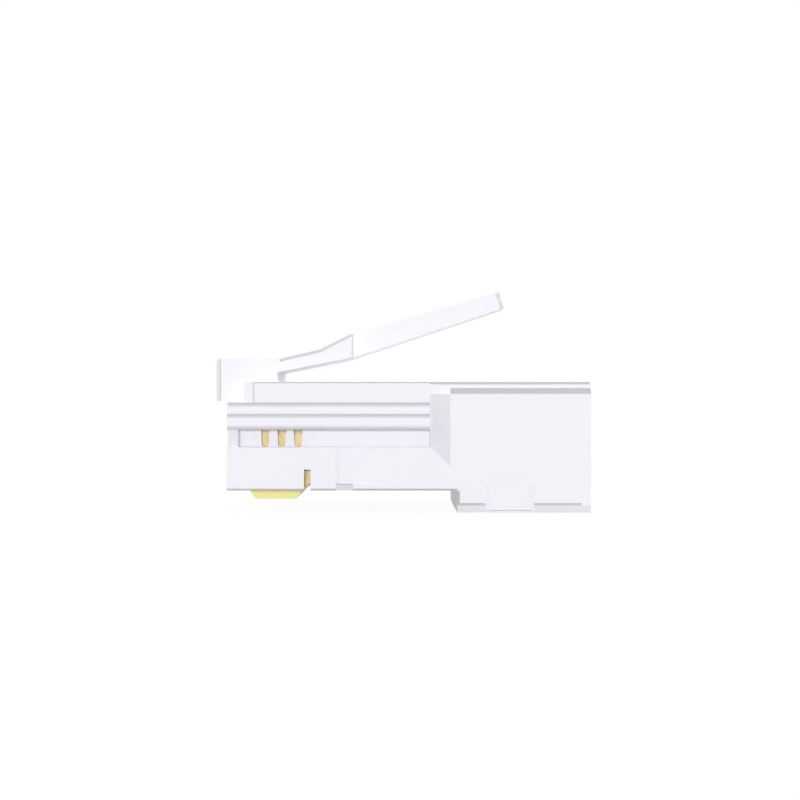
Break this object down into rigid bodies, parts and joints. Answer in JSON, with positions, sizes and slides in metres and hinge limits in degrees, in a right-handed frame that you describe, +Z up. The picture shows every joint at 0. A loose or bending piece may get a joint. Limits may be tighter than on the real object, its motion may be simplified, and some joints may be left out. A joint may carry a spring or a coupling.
{
  "type": "rj45 modular plug",
  "caption": "Clear moulded modular plug with gold-plated insulation-piercing contacts, a sprung latch lever and a cable entry behind.",
  "frame": {"origin": "under the middle of the plug's bounding box, in the plane of the foot's lowest face", "axes": "+X from the mating nose to the cable face, +Y across the width, +Z up from the contacts to the latch"},
  "size_m": [0.0232, 0.0118, 0.0137],
  "materials": {
    "housing_plastic": "glossy, milky-clear moulded polycarbonate",
    "latch_plastic": "glossy, milky-clear moulded polycarbonate",
    "contact_gold": "gold-plated phosphor bronze"
  },
  "bodies": {
    "housing": {"housing": "housing_plastic", "contact_1": "contact_gold", "contact_2": "contact_gold", "contact_3": "contact_gold", "contact_4": "contact_gold", "contact_5": "contact_gold", "contact_6": "contact_gold", "contact_7": "contact_gold", "contact_8": "contact_gold"},
    "latch": {"latch": "latch_plastic"}
  },
  "joints": [
    {"name": "latch_press", "type": "hinge", "parent": "housing", "child": "latch", "pos_m": [-0.00768, 0, 0.0086], "axis": [0, 1, 0], "range_deg": [0, 16], "stiffness_Nm_per_rad": 0.02}
  ]
}
